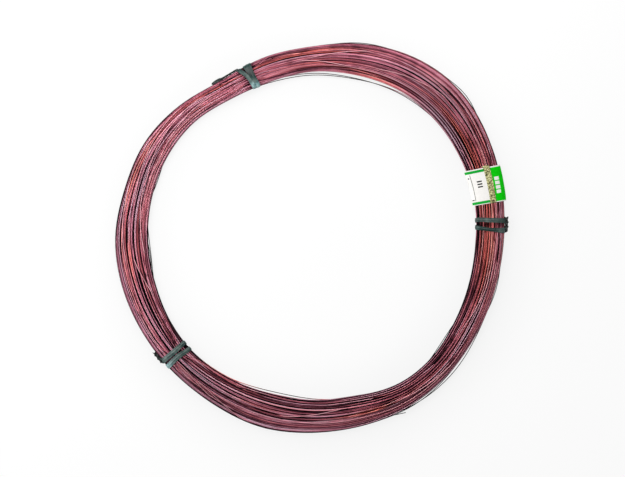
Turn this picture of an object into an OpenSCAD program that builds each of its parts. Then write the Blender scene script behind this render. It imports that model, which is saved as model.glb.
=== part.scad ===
// A one kilogram coil of soft copper wire, lying flat: some hundreds of turns in one
// bundle that is held together by three plastic-coated twist ties, with a paper label
// wrapped round it and closed by a strip of adhesive tape.
//
// The origin is on the floor under the middle of the coil, with +Z up. Clock positions
// are angles in degrees, anticlockwise from +X. Every length is in millimetres.

/* [Wire] */
// Diameter of the bare wire
wire_d = 0.7; // [0.5:0.05:1]
// Turns of wire in the coil
turns = 268; // [200:1:340]
// Length of the wire's loose end
loose_end = 16; // [8:0.5:24]

/* [Bundle] */
// Diameter of the coil along the middle of its bundle
coil_d = 345; // [310:1:400]
// Width of the bundle, averaged round the coil
bundle_w = 29; // [24:0.5:36]
// How far the bundle strays from its circle
bulge = 10; // [4:0.5:14]
// Share of the bundle's section that is copper where a tie squeezes it
tied_packing = 0.74; // [0.66:0.01:0.82]
// Share of the bundle's section that is copper in the open spans, at its mean width
open_packing = 0.56; // [0.5:0.01:0.62]
// Hanks of turns that show across the top
hanks = 11; // [8:1:12]
// Depth of the furrows between the hanks
furrow = 1.1; // [0.4:0.05:1.5]
// How far the furrows sway to and fro across the bundle, in hanks
sway = 1.2; // [0:0.1:1.5]
// How much lower every other hank lies where it dives under its neighbours
dive = 0.6; // [0:0.05:1]

/* [Ties] */
// Width of the twist ties' strip
tie_w = 4; // [3:0.1:5]
// Thickness of that strip over its core wire
tie_t = 0.9; // [0.7:0.05:1.2]
// Thickness of that strip at its edges
tie_edge = 0.4; // [0.2:0.05:0.6]
// Room between the bundle and what is wrapped round it
wrap_gap = 0.3; // [0.2:0.05:0.5]
// Length of the long twist that lies along the bundle at the upper left
long_twist = 27; // [16:0.5:34]
// Length of the short twists at the right and at the lower left
short_twist = 11; // [8:0.5:16]
// Length of one full turn of a twist
twist_pitch = 8; // [7:0.5:12]

/* [Label] */
// Length of the label along the bundle
label_l = 33; // [24:0.5:38]
// How far the label's folded sides stand out from the bundle
label_fold = 2; // [1:0.1:4]
// Thickness of the paper
label_t = 0.3; // [0.2:0.05:0.5]
// Width of the tape over the label's seam
tape_w = 6; // [4:0.5:9]
// Thickness of that tape
tape_t = 0.15; // [0.1:0.01:0.3]
// How far the tape runs past the label's upper edge
tape_over = 1.7; // [0.5:0.1:2.5]

/* [Hidden] */

copper = [0.47, 0.26, 0.28];
tie_green = [0.24, 0.31, 0.31];
label_white = [0.95, 0.95, 0.93];
tape_tan = [0.76, 0.71, 0.50];

// The bundle at every 15 degrees: how far its middle lies off the circle, as a share
// of bulge, and how wide it is, as a share of bundle_w.
BUNDLE = [
    [-0.20, 0.95], [ 0.20, 1.00], [ 0.60, 1.15], [ 1.00, 1.30], [ 0.95, 1.25], [ 0.50, 1.10],
    [-0.05, 0.85], [-0.50, 0.85], [-0.80, 0.70], [-0.30, 0.75], [ 0.00, 0.90], [ 0.00, 0.95],
    [ 0.10, 1.10], [ 0.00, 1.10], [-0.05, 1.00], [-0.10, 0.95], [-0.20, 1.05], [-0.15, 1.20],
    [-0.15, 1.10], [-0.10, 1.05], [ 0.20, 0.85], [ 0.10, 0.80], [-0.20, 0.85], [-0.30, 0.90]
];
STATIONS = 96;

// Clock positions of the ties, the label and the wire's loose end
UPPER_LEFT = 111.4;
RIGHT = 4.3;
LOWER_LEFT = 220.6;
LABEL = 16.7;
LOOSE_END = 293.5;

function wrapped(i, n) = ((i % n) + n) % n;
function smooth(t) = let(u = min(1, max(0, t))) u * u * (3 - 2 * u);
function cubic(v, t) =
    v[1] + t * (v[2] - v[0] + t * (2 * v[0] - 5 * v[1] + 4 * v[2] - v[3]
         + t * (3 * (v[1] - v[2]) + v[3] - v[0]))) / 2;
function bundle_value(clock, column) =
    let(n = len(BUNDLE), s = wrapped(clock / 360 * n, n), i = floor(s))
    cubic([for (j = [-1:2]) BUNDLE[wrapped(i + j, n)][column]], s - i);
function middle(clock) = coil_d / 2 + bulge * bundle_value(clock, 0);
function width(clock) = bundle_w * bundle_value(clock, 1);

// 1 within `reach` millimetres along the bundle from the clock position `at`, falling
// to 0 over the length in which the bundle settles
SETTLE = 38;
TIE_REACH = 10;
function near(clock, at, reach) =
    let(turn = wrapped(clock - at, 360), along = min(turn, 360 - turn) * PI / 180 * coil_d / 2)
    1 - smooth((along - reach) / SETTLE);
function tied(clock) = max([for (at = [UPPER_LEFT, RIGHT, LOWER_LEFT]) near(clock, at, TIE_REACH)]);
function labelled(clock) = near(clock, LABEL, label_l / 2 + tape_over);

// The bundle's section is flat underneath, rounded at its sides and domed on top. Its
// outline is given in shares: outwards, of half the width, and upwards, of the height.
FLAT = 0.62;
WAIST = 0.40;
SECTION_FILL = WAIST * (FLAT + PI / 4 * (1 - FLAT)) + PI / 4 * (1 - WAIST);
function dome(t) = [cos(180 * t), WAIST + (1 - WAIST) * sin(180 * t)];
function side(t) = [FLAT + (1 - FLAT) * cos(90 * t), WAIST * (1 - sin(90 * t))];
function inwards(share) = [-share[0], share[1]];

// The height that lets the section hold its copper, and the height of the underside
// over the floor: the bundle rides on its ties, where two layers of strip cross under
// it, and on its label.
LAYER_GAP = 0.1;
copper_area = turns * PI * pow(wire_d / 2, 2);
function packing(clock) =
    let(loose = open_packing * sqrt(bundle_w / width(clock)))
    loose + (tied_packing - loose) * max(tied(clock), labelled(clock) / 2);
function height(clock) = copper_area / packing(clock) / (SECTION_FILL * width(clock));
tie_lift = wrap_gap + 2 * tie_t + LAYER_GAP;
label_lift = wrap_gap + label_t;
function lift(clock) = max(tie_lift * tied(clock), label_lift * labelled(clock));

// A point of the bundle's skin, moved `out` sideways and `over` up or down away from it
function skin(clock, share, out, over) =
    let(r = middle(clock) + share[0] * (width(clock) / 2 + out))
    [r * cos(clock), r * sin(clock), lift(clock) - over + share[1] * (height(clock) + 2 * over)];

// The clock position that lies `along` millimetres on from `at`
function further(at, along) = at + along / middle(at) * 180 / PI;

// Triangles that join ring after ring of `sides` points each
function skin_faces(rings, sides, closed) = [
    for (i = [0 : rings - (closed ? 1 : 2)], j = [0 : sides - 1])
        let(a = i * sides, b = ((i + 1) % rings) * sides, k = (j + 1) % sides)
        each [[a + j, a + k, b + j], [a + k, b + k, b + j]]
];
// Four-sided faces that close an end ring whose points run out along one face of a
// strip and back along the other
function end_faces(first, sides, last) = [
    for (j = [0 : sides / 2 - 2])
        let(f = [first + j, first + j + 1, first + sides - 2 - j, first + sides - 1 - j])
        last ? f : [f[3], f[2], f[1], f[0]]
];

// Between the ties and the label the hanks lie loose, with furrows between them that
// sway together, and a little each on its own: how many times round the coil, and from
// which clock position. A furrow's place is its share across, 1 at the outer side.
OWN_SWAY = [[1, 40], [2, 200], [3, 310], [2, 90], [1, 250], [3, 20], [2, 160], [1, 120]];
OWN_SHARE = 0.18;
HANK_STEPS = 4;
HANK_ROUND = 0.14;
function loose(clock) = 1 - max(tied(clock), labelled(clock));
function swayed(clock) = sway * (sin(clock + 30) + 0.5 * sin(2 * clock + 140)) / 1.3;
function furrow_place(k, clock) =
    let(even = 1 - 2 * k / hanks, own = OWN_SWAY[k % len(OWN_SWAY)])
    k == 0 || k == hanks ? even
    : even + 2 / hanks * (cos(90 * even) * swayed(clock) + OWN_SHARE * sin(own[0] * clock + own[1]));
function dived(k, clock) =
    let(own = OWN_SWAY[(k + 3) % len(OWN_SWAY)])
    k % 2 == 0 ? 0 : dive * (1 - cos(own[0] * clock + own[1])) / 2;
function hank_point(k, step, clock) =
    let(from = acos(furrow_place(k, clock)), to = acos(furrow_place(k + 1, clock)),
        angle = from + (to - from) * step / HANK_STEPS,
        crest = dived(k, clock) + (step == HANK_STEPS / 2 ? 0 : HANK_ROUND * furrow),
        depth = step > 0 ? crest : k == 0 ? 0 : furrow)
    skin(clock, dome(angle / 180), 0, 0) - [0, 0, loose(clock) * sin(angle) * depth];

SIDE_STEPS = 3;
SIDES = concat(
    [for (i = [0:SIDE_STEPS]) inwards(side(i / SIDE_STEPS))],
    [for (i = [SIDE_STEPS:-1:1]) side(i / SIDE_STEPS)]
);
DOME_STEPS = 24;
OUTLINE = concat([for (i = [0 : DOME_STEPS - 1]) dome(i / DOME_STEPS)], SIDES);

// The loose end leaves the outermost turn at this slight angle, and this much of it is
// still among the turns.
LEAVE = 11.5;
ROOTED = 6;

module wire_coil() {
    sides = hanks * HANK_STEPS + len(SIDES);
    points = [
        for (i = [0 : STATIONS - 1])
            let(clock = 360 * i / STATIONS)
            each concat(
                [for (k = [0 : hanks - 1], step = [0 : HANK_STEPS - 1]) hank_point(k, step, clock)],
                [for (share = SIDES) skin(clock, share, 0, 0)])
    ];
    root = skin(LOOSE_END, [1, WAIST], -wire_d, 0);
    color(copper) {
        polyhedron(points, skin_faces(STATIONS, sides, true));
        translate(root) rotate([0, 90, LOOSE_END + 90 - LEAVE]) translate([0, 0, -ROOTED])
            cylinder(h = ROOTED + loose_end, d = wire_d, $fn = 12);
    }
}

// One twist tie. Its strip goes twice round the bundle, and its two ends are twisted
// into a cord that lies along the bundle's outer side. `passes` are the strip's places
// along the bundle at its outer side, inner side, outer side, inner side and outer side
// again, `towards` is 1 where the cord runs anticlockwise and -1 where it runs clockwise,
// and `stand` is the room between the bundle and the cord's axis.
UPPER_LEFT_PASSES = [7, -2, -0.5, -6, 7];
RIGHT_PASSES = [-6, -1.5, 2.5, 6, -6];
LOWER_LEFT_PASSES = [-3.5, -4, 3, 4, -3.5];
BESIDE_BUNDLE = 1.8;
BESIDE_STRIP = 2.8;
TURN_STEPS = 28;
TWIST_STEP = 1.3;
TWIST_R = 0.85;
TWIST_W = 1.7;
TWIST_ROOT = 0.6;
STEP_GAP = 0.3;
STEP_UP = 1.5;

// the strip's way round the section, in TURN_STEPS steps from the outer side
function wrap_share(i) =
    let(h = TURN_STEPS / 2, s = wrapped(i, TURN_STEPS), q = 4, low = s - h)
    s <= h ? dome(s / h)
    : low <= q ? inwards(side(low / q))
    : low < h - q ? [FLAT * (2 * (low - q) / (h - 2 * q) - 1), 0]
    : side((h - low) / q);

function pass_at(passes, i) =
    let(s = i * 2 / TURN_STEPS, k = min(3, floor(s)), last = len(passes) - 1)
    cubic([for (j = [-1:2]) passes[min(last, max(0, k + j))]], s - k);

// 1 where the strip's second turn lies over its first one
function layer(passes, i) =
    i < TURN_STEPS ? 0
    : 1 - smooth((abs(pass_at(passes, i) - pass_at(passes, i - TURN_STEPS)) - tie_w - STEP_GAP)
                 / STEP_UP);

// the strip's section: across, as a share of half its width, and its thickness there
STRIP = [[-1, 0], [0, 0], [1, 0], [1, 1], [0, 1], [-1, 1]];
function strip_thickness(p) = p[0] == 0 ? tie_t : tie_edge;

function wrap_ring(at, passes, i) =
    let(along = pass_at(passes, i), base = wrap_gap + (tie_t + LAYER_GAP) * layer(passes, i))
    [for (p = STRIP)
        let(over = base + tie_t / 2 + (p[1] - 0.5) * strip_thickness(p))
        skin(further(at, along + p[0] * tie_w / 2), wrap_share(i), over, over)];

// a ring of one strand of the cord, `l` millimetres along it from its root
function twist_ring(at, root, towards, stand, l, strand) =
    let(bend = stand - TWIST_ROOT, quarter = bend * PI / 2,
        turned = min(90, l / quarter * 90),
        run = bend * (1 - cos(turned)) + max(0, l - quarter),
        clock = further(at, root + towards * run),
        out = [cos(clock), sin(clock), 0], on = [-sin(clock), cos(clock), 0] * towards,
        ahead = out * cos(turned) + on * sin(turned),
        up = [0, 0, 1], aside = cross(ahead, up),
        phase = 360 * l / twist_pitch + (strand == 0 ? 0 : 180),
        normal = up * cos(phase) + aside * sin(phase),
        round = aside * cos(phase) - up * sin(phase),
        rise = atan(2 * PI * TWIST_R / twist_pitch),
        tangent = (ahead * cos(rise) + round * sin(rise)) * (strand == 0 ? -1 : 1),
        across = cross(tangent, normal),
        axis = skin(clock, [1, WAIST], TWIST_ROOT + bend * sin(turned), 0))
    [for (p = STRIP) axis + normal * (TWIST_R + (p[1] - 0.5) * strip_thickness(p))
                    + across * p[0] * TWIST_W / 2];

module tie(at, passes, twist, towards, stand) {
    steps = round(twist / TWIST_STEP);
    last_pass = 2 * TURN_STEPS - 1;
    rings = concat(
        [for (i = [steps:-1:0]) twist_ring(at, passes[0], towards, stand, i * twist / steps, 0)],
        [for (i = [1:last_pass]) wrap_ring(at, passes, i)],
        [for (i = [0:steps]) twist_ring(at, passes[4], towards, stand, i * twist / steps, 1)]
    );
    sides = len(STRIP);
    color(tie_green) polyhedron(
        [for (ring = rings) each ring],
        concat(skin_faces(len(rings), sides, false), end_faces(0, sides, false),
               end_faces((len(rings) - 1) * sides, sides, true)));
}

module tie_upper_left() { tie(UPPER_LEFT, UPPER_LEFT_PASSES, long_twist, 1, BESIDE_BUNDLE); }
module tie_right() { tie(RIGHT, RIGHT_PASSES, short_twist, 1, BESIDE_STRIP); }
module tie_lower_left() { tie(LOWER_LEFT, LOWER_LEFT_PASSES, short_twist, -1, BESIDE_BUNDLE); }

// The label's edges are straighter than the bundle, and it sits a little askew on it.
LABEL_FAN = 0.45;
LABEL_SKEW = -4;
LABEL_STEPS = 12;
function on_label(along, share, out, over) =
    let(x = share[0] * (width(LABEL) / 2 + out),
        turn = (along * (1 + LABEL_FAN * x / middle(LABEL)) + x * tan(LABEL_SKEW)) / (middle(LABEL) + x))
    skin(LABEL + turn * 180 / PI, share, out, over);

module label() {
    along = [for (i = [0:LABEL_STEPS]) label_l * (i / LABEL_STEPS - 0.5)];
    back = [for (i = [LABEL_STEPS:-1:0]) along[i]];
    points = [
        for (share = OUTLINE)
            each concat(
                [for (s = along) on_label(s, share, label_fold, wrap_gap)],
                [for (s = back) on_label(s, share, label_fold + label_t, wrap_gap + label_t)])
    ];
    color(label_white) polyhedron(points, skin_faces(len(OUTLINE), 2 * len(along), true));
}

// The tape lies over the seam, outwards of the label's middle.
TAPE_OFF = 3.4;
TAPE_UNDER = 0.2;
TAPE_GAP = 0.05;
TAPE_STEPS = 4;
module label_tape() {
    length = label_l + TAPE_UNDER + tape_over;
    along = [for (i = [0:LABEL_STEPS]) length * i / LABEL_STEPS - label_l / 2 - TAPE_UNDER];
    back = [for (i = [LABEL_STEPS:-1:0]) along[i]];
    half = width(LABEL) / 2 + label_fold + label_t;
    under = wrap_gap + label_t + TAPE_GAP;
    points = [
        for (i = [0:TAPE_STEPS])
            let(x = (TAPE_OFF + tape_w * (0.5 - i / TAPE_STEPS)) / half, share = dome(acos(x) / 180))
            each concat(
                [for (s = along) on_label(s, share, label_fold + label_t, under)],
                [for (s = back) on_label(s, share, label_fold + label_t, under + tape_t)])
    ];
    sides = 2 * len(along);
    color(tape_tan) polyhedron(
        points, concat(skin_faces(TAPE_STEPS + 1, sides, false), end_faces(0, sides, false),
                       end_faces(TAPE_STEPS * sides, sides, true)));
}

wire_coil();
tie_upper_left();
tie_right();
tie_lower_left();
label();
label_tape();
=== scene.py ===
"""A coil of soft copper wire: every turn of it, the twist ties round it and its label.

Lengths are in millimetres, apart from the stage, and MM makes metres of them. A clock
position is an angle in degrees, anticlockwise from +X as seen from above. A share across
the bundle is -1 at its inner side, 0 in the middle and 1 at its outer side.
"""
import math

import bpy
import numpy as np
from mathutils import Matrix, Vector


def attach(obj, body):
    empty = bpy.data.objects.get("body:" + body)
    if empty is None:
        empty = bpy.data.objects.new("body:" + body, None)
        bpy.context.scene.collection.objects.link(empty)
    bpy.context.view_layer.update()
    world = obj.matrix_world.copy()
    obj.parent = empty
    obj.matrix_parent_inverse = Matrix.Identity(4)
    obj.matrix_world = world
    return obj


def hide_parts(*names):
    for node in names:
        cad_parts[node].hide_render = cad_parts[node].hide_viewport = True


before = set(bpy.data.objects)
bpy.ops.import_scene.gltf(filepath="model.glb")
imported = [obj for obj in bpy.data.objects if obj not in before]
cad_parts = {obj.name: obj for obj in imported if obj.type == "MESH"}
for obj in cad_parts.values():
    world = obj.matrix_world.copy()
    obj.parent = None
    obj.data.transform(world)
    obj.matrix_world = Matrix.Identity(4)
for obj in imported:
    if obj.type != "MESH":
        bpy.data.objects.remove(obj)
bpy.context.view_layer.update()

MM = 0.001
WIRE_D = 0.7
WIRE_R = WIRE_D / 2
TURNS = 268
SEED = 11
# keeps what lies in one place from being parted by a division by nothing
TINY = 1e-6

# --------------------------------------------- the stage: camera, lights, floor, in metres

# how much of the floor the camera takes in, and its lens and sensor in millimetres; how
# far it is beside the coil's middle, how much it is raised and how far it sees
SEEN, LENS, SENSOR = 0.600, 85.0, 36.0
CAMERA_ASIDE, CAMERA_LIFT, CAMERA_SIGHT = (0.0003, -0.0002), 0.004, 10
# the lamps' side and watts, the light from all round, and the lamps' places
LAMP_SIZE, LAMP_POWER, WORLD_LIGHT = 0.40, 2.0, 0.22
LAMPS = {
    "key": (0.12, 0.46, 0.38),
    "side": (-0.48, -0.05, 0.38),
    "corner": (-0.31, 0.37, 0.38),
}
# the floor's side, its white, and how much of what is seen of it is its own glow
FLOOR_SIZE, FLOOR_WHITE, FLOOR_GLOW = 6, (0.93, 0.93, 0.93), 0.90
# the soft painted shade on the floor along the coil: how dark and how broad it is, how far
# to each side it is drawn and at how many places
SHADE, SHADE_REACH, SHADE_END, SHADE_STOPS = 0.070, 0.040, 0.10, 15


def deselect():
    """An operator acts on all that is selected, so each new shape starts with this."""
    bpy.ops.object.select_all(action="DESELECT")


def make_camera():
    """Looks straight down on the coil, with SEEN of floor across the picture."""
    data = bpy.data.cameras.new("camera")
    data.lens, data.sensor_width, data.clip_end = LENS, SENSOR, CAMERA_SIGHT
    camera = bpy.data.objects.new("camera", data)
    camera.location = (*CAMERA_ASIDE, SEEN * LENS / SENSOR + CAMERA_LIFT)
    bpy.context.scene.collection.objects.link(camera)
    bpy.context.scene.camera = camera
    bpy.context.scene.view_settings.view_transform = "Standard"


def make_lamp(name, place):
    """A square softbox that faces the middle of the coil."""
    data = bpy.data.lights.new(name, "AREA")
    data.shape, data.size, data.energy = "SQUARE", LAMP_SIZE, LAMP_POWER
    lamp = bpy.data.objects.new(name, data)
    lamp.location = place
    lamp.rotation_euler = (-Vector(place)).to_track_quat("-Z", "Y").to_euler()
    bpy.context.scene.collection.objects.link(lamp)


def make_world():
    """Even, dim light from all round."""
    world = bpy.data.worlds.new("studio")
    world.use_nodes = True
    background = world.node_tree.nodes["Background"]
    background.inputs["Color"].default_value = (1, 1, 1, 1)
    background.inputs["Strength"].default_value = WORLD_LIGHT
    bpy.context.scene.world = world


def backdrop_share(tree):
    """1 where a camera, mirror or glass ray meets the surface."""
    rays = add_node(tree, "ShaderNodeLightPath")
    seen = add_math(tree, "MAXIMUM", rays["Is Camera Ray"], rays["Is Glossy Ray"])
    return add_math(tree, "MAXIMUM", seen, rays["Is Transmission Ray"])


def floor_painted_shade(tree):
    """White with a broad, soft painted shade along the coil."""
    place = add_node(tree, "ShaderNodeTexCoord")["Object"]
    radius = add_node(tree, "ShaderNodeVectorMath", {0: place}, operation="LENGTH")["Value"]
    stops = []
    for off in np.linspace(-SHADE_END, SHADE_END, SHADE_STOPS):
        pale = 1 - SHADE * math.exp(-(off / SHADE_REACH) ** 2)
        stops.append((MIDDLE.mean() * MM + off, (pale, pale, pale)))
    return add_ramp(tree, radius, stops)


def make_floor():
    """A pale floor that shows nearly white, keeps a faint shadow of the coil and has a painted
    shade along it.
    """
    deselect()
    bpy.ops.mesh.primitive_plane_add(size=FLOOR_SIZE, location=(0, 0, 0))
    floor = bpy.context.object
    floor.name = "floor"
    material = bpy.data.materials.new("floor_paper")
    material.use_nodes = True
    tree = material.node_tree
    tree.nodes.clear()
    paper = add_node(tree, "ShaderNodeBsdfDiffuse", {"Color": FLOOR_WHITE})[0]
    glow = add_node(tree, "ShaderNodeEmission", {"Color": floor_painted_shade(tree), "Strength": 1})[0]
    share = add_math(tree, "MULTIPLY", backdrop_share(tree), FLOOR_GLOW)
    both = add_node(tree, "ShaderNodeMixShader", {"Fac": share, 1: paper, 2: glow})[0]
    add_node(tree, "ShaderNodeOutputMaterial", {"Surface": both})
    floor.data.materials.append(material)


# ------------------------------------------------------------------ the bundle's shape

# stations round the coil, in the CAD part and for the turns
CAD_STATIONS, STATIONS = 96, 160
CLOCK = np.arange(STATIONS) * 360 / STATIONS
# the section's flat underside, as a share of its width, and its widest place, as a
# share of its height
FLAT, WAIST = 0.62, 0.40
# places across at which the roof's height is kept, and the share of the half width
# over which it holds the turns down
SHARES, ROOFED = np.linspace(-1, 1, 101), 0.9
JUST_INSIDE = 0.9999
# how near a vertex lies to its station, in stations, and to the waist to count as there,
# and over how many stations the measures are smoothed
AT_STATION, AT_WAIST, SECTION_SPREAD = 0.002, 0.01, 1.0


def smoothstep(t):
    """Eases from 0 to 1."""
    t = np.clip(t, 0, 1)
    return t * t * (3 - 2 * t)


def at_clock(values, clock):
    """What the bundle's values come to at a clock position."""
    return np.interp(clock, CLOCK, values, period=360)


def clock_off(clock):
    """How many degrees each station is past a clock position, from -180 to 180."""
    return (CLOCK - clock + 180) % 360 - 180


def on_ring(clock, r, z):
    """Points at clock positions, that far from the coil's axis and that high."""
    angle = np.radians(clock)
    return np.stack([r * np.cos(angle), r * np.sin(angle), z + 0 * r], axis=-1)


def round_coil(values, spread):
    """Smooths values of shape (hanks, stations) round the closed ring."""
    waves = np.fft.rfft(values, axis=1)
    fade = np.exp(-2 * (np.pi * spread * np.arange(waves.shape[1]) / STATIONS) ** 2)
    return np.fft.irfft(waves * fade, STATIONS, axis=1)


def measure_bundle():
    """The CAD bundle's middle, half width, underside, height and roof at each station."""
    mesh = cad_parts["wire_coil"].data
    points = np.empty(len(mesh.vertices) * 3)
    mesh.vertices.foreach_get("co", points)
    points = points.reshape(-1, 3) / MM
    radius = np.hypot(points[:, 0], points[:, 1])
    station = np.degrees(np.arctan2(points[:, 1], points[:, 0])) % 360 * CAD_STATIONS / 360
    nearest = np.round(station)
    at_one = abs(station - nearest) < AT_STATION
    rows = np.empty((4 + len(SHARES), CAD_STATIONS))
    for s in range(CAD_STATIONS):
        ring = at_one & (nearest % CAD_STATIONS == s)
        r, z = radius[ring], points[ring, 2]
        middle, half = (r.min() + r.max()) / 2, (r.max() - r.min()) / 2
        waist = z[r.argmax()]
        top = z > waist - AT_WAIST
        order = np.argsort(r[top])
        roof = np.interp(middle + SHARES * half, r[top][order], z[top][order])
        rows[:, s] = [middle, half, z.min(), (waist - z.min()) / WAIST, *roof]
    at = np.arange(CAD_STATIONS) * 360 / CAD_STATIONS
    rows = np.array([np.interp(CLOCK, at, row, period=360) for row in rows])
    rows = round_coil(rows, SECTION_SPREAD)
    return *rows[:4], rows[4:]


MIDDLE, HALF, LOW, HEIGHT, ROOF = measure_bundle()


def roof_over(x):
    """How high the bundle's furrowed top is over places in the section."""
    at = np.clip((x / HALF + 1) / 2, 0, JUST_INSIDE) * (len(SHARES) - 1)
    below = at.astype(int)
    station = np.broadcast_to(np.arange(STATIONS), x.shape)
    here, beyond = ROOF[below, station], ROOF[below + 1, station]
    return here + (at - below) * (beyond - here)


def hold_in(x, z, margin):
    """Moves places in the section back inside the bundle's outline, less a margin."""
    half, waist = HALF - margin, LOW + WAIST * HEIGHT
    top = (1 - WAIST) * HEIGHT - margin
    above = np.maximum(z - waist, 0)
    reach = np.sqrt((x / half) ** 2 + (above / top) ** 2)
    shrink = 1 / np.maximum(reach, 1)
    z = np.where(z > waist, waist + above * shrink, z)
    x = np.where(reach > 1, x * shrink, x)
    below = np.clip((waist - z) / (WAIST * HEIGHT), 0, 1)
    limit = half * (FLAT + (1 - FLAT) * np.sqrt(1 - below**2))
    x = np.clip(x, -limit, limit)
    z = np.where(abs(x) < ROOFED * HALF, np.minimum(z, roof_over(x) - margin), z)
    return x, np.maximum(z, LOW + margin)


# ---------------------------------------------------------------- the turns of the wire


def along_wire(values, spread):
    """Smooths values of shape (turns, stations) along the wire, as one unbroken length."""
    reach = int(3 * spread) + 1
    weights = np.exp(-0.5 * (np.arange(-reach, reach + 1) / spread) ** 2)
    flat = np.pad(values.ravel(), reach, mode="edge")
    return np.convolve(flat, weights / weights.sum(), "valid").reshape(values.shape)


def wander(rng, size, spread):
    """Smooth random values of that size along the wire, alike over so many stations."""
    values = along_wire(rng.standard_normal((TURNS, STATIONS)), spread)
    return size * (values / values.std())


# waves round the coil in a hank's course, and the least share of its size that one has
WAVES, LEAST_WAVE = (1, 2, 3, 4), 0.3


def slow_waves(rng, count, size, lag=None):
    """Closed waves round the coil for so many hanks, alike up to a lag if one is given."""
    angle = np.radians(CLOCK)
    total = np.zeros((count, STATIONS))
    for periods in WAVES:
        many = (count, 1) if lag is None else (1, 1)
        swell = rng.uniform(LEAST_WAVE, 1, many) / periods
        phase = rng.uniform(0, math.tau, many) + (0 if lag is None else lag)
        total += swell * np.sin(periods * angle + phase)
    return size * total


# The hanks on top lie between the CAD bundle's furrows. These sway together across the
# bundle, in two waves with a start each, and a little each on its own.
HANKS = 11
SWAY, SWAY_STARTS, SECOND_WAVE, SWAY_PEAK = 1.2, (30, 140), 0.5, 1.3
OWN_SHARE = 0.18
OWN_SWAY = [(1, 40), (2, 200), (3, 310), (2, 90), (1, 250), (3, 20), (2, 160), (1, 120)]
# turns side by side in each hank on top, from the inner side outwards, and the hank's
# hue, from -1 for purple tarnish to 1 for orange copper
HANK_TURNS = (5, 4, 3, 3, 3, 4, 3, 3, 3, 4, 5)
HANK_HUES = (-0.1, -0.1, -0.3, 0.1, 0.2, 0.0, -0.2, 0.2, 0.1, -0.1, -0.3)
# how deep the second layer lies, and how far a turn is from its even place
LAYER_DEPTH, UNEVEN = 0.62, 0.12
# the top turns' tone, how much it differs between hanks and between turns, how much
# painted shade darkens a hank's flanks and its first turn by the furrows, and how much darker its
# tarnished turns are
TOP_TONE, HANK_SPREAD, TURN_SPREAD = 0.75, 0.06, 0.19
FLANK_PAINTED_SHADE, FIRST_PAINTED_SHADE, TARNISH_DARK, TARNISHED = 0.06, 0.12, 0.50, 0.15
HUE_SPREAD = 0.35
# bands of turns that cross over the hanks on top: the shares across between which they
# sway, the clock position where they are at the first of them, and their turns
CROSSING = [
    (-0.80, 0.05, 250, 4),
    (-0.25, 0.75, 80, 5),
    (-0.65, 0.30, 150, 3),
    (0.20, 0.85, 330, 4),
]
CROSSING_PITCH, CROSSING_TONE, CROSSING_SPREAD = 0.8, 0.78, 0.1
# turns in each hank of the core, over and over, and the hanks' rows from the floor up
CORE_SIZES = (7, 12, 5, 9, 14, 7, 4, 10)
CORE_ROWS = (0.15, 0.45)
# the turns' pitch in a hank and how much of a hank they fill, and how much wider or
# slimmer the hanks are
CORE_PITCH, CORE_FILL, CORE_WIDTHS = 0.76, 0.78, (0.95, 1.25)
LATTICE, LATTICE_SHIFT = range(-4, 5), 0.3
# how far out the core's hanks lie, how they sway and rise, together and alone, as shares
# of the half width and height, how they lag behind one another, and how they twist
CORE_SPAN, CORE_SWAY, CORE_OWN_SWAY, CORE_RISE, CORE_TWIST = 0.95, 0.10, 0.035, 0.04, 0.35
ACROSS_LAG, ROW_LAG, RISE_LAG = 2.2, 1.3, 1.7
# rounds in which the hanks find room, stations over which a push is spread, and how near
# the outline and how high they may come, as shares of the height
ROOM_ROUNDS, ROOM_SPREAD, CORE_EDGE, CORE_TOP = 50, 5, 0.25, 0.55
CORE_TONE, CORE_HANK_SPREAD, CORE_TURN_SPREAD, CORE_HUE_SPREAD = 0.60, 0.12, 0.13, 0.4


def furrow_place(k):
    """A furrow's share across the bundle all round the coil, 1 at the outer side."""
    even = 1 - 2 * k / HANKS
    if k in (0, HANKS):
        return even + 0 * CLOCK
    angle = np.radians(CLOCK)
    first, second = (math.radians(start) for start in SWAY_STARTS)
    waves = np.sin(angle + first) + SECOND_WAVE * np.sin(2 * angle + second)
    swayed = SWAY * waves / SWAY_PEAK
    times, start = OWN_SWAY[k % len(OWN_SWAY)]
    own = OWN_SHARE * np.sin(times * angle + math.radians(start))
    return even + 2 / HANKS * (math.cos(math.pi / 2 * even) * swayed + own)


def under_roof(angle, depth):
    """Places that deep under the bundle's dome, at angles from its outer side over the top."""
    rise = (1 - WAIST) * HEIGHT
    x, z = HALF * np.cos(angle), LOW + WAIST * HEIGHT + rise * np.sin(angle)
    out, up = np.cos(angle) / HALF, np.sin(angle) / rise
    length = np.hypot(out, up)
    return x - depth * out / length, z - depth * up / length


def lay_top(rng):
    """Two layers of turns in every hank on top, from the inner side outwards."""
    rows = []
    for h, wide in enumerate(HANK_TURNS):
        k = HANKS - 1 - h
        first, last = np.arccos(furrow_place(k + 1)), np.arccos(furrow_place(k))
        worn = HANK_SPREAD * rng.standard_normal()
        for layer in (1, 0):
            count = wide - layer
            for n in range(count):
                share = (n + 0.5 + UNEVEN * rng.uniform(-1, 1)) / count
                x, z = under_roof(first + (last - first) * share, WIRE_R + LAYER_DEPTH * layer)
                flank = abs(2 * share - 1)
                # painted shade on a hank's flanks and on its first turn, by the furrows
                tone = TOP_TONE + worn + TURN_SPREAD * rng.standard_normal() - FLANK_PAINTED_SHADE * flank**3
                tone -= FIRST_PAINTED_SHADE * (n == 0 and layer == 0)
                tone -= TARNISH_DARK * (rng.random() < TARNISHED)
                rows.append((x, z, tone, HANK_HUES[h] + HUE_SPREAD * rng.standard_normal()))
    return rows


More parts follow.
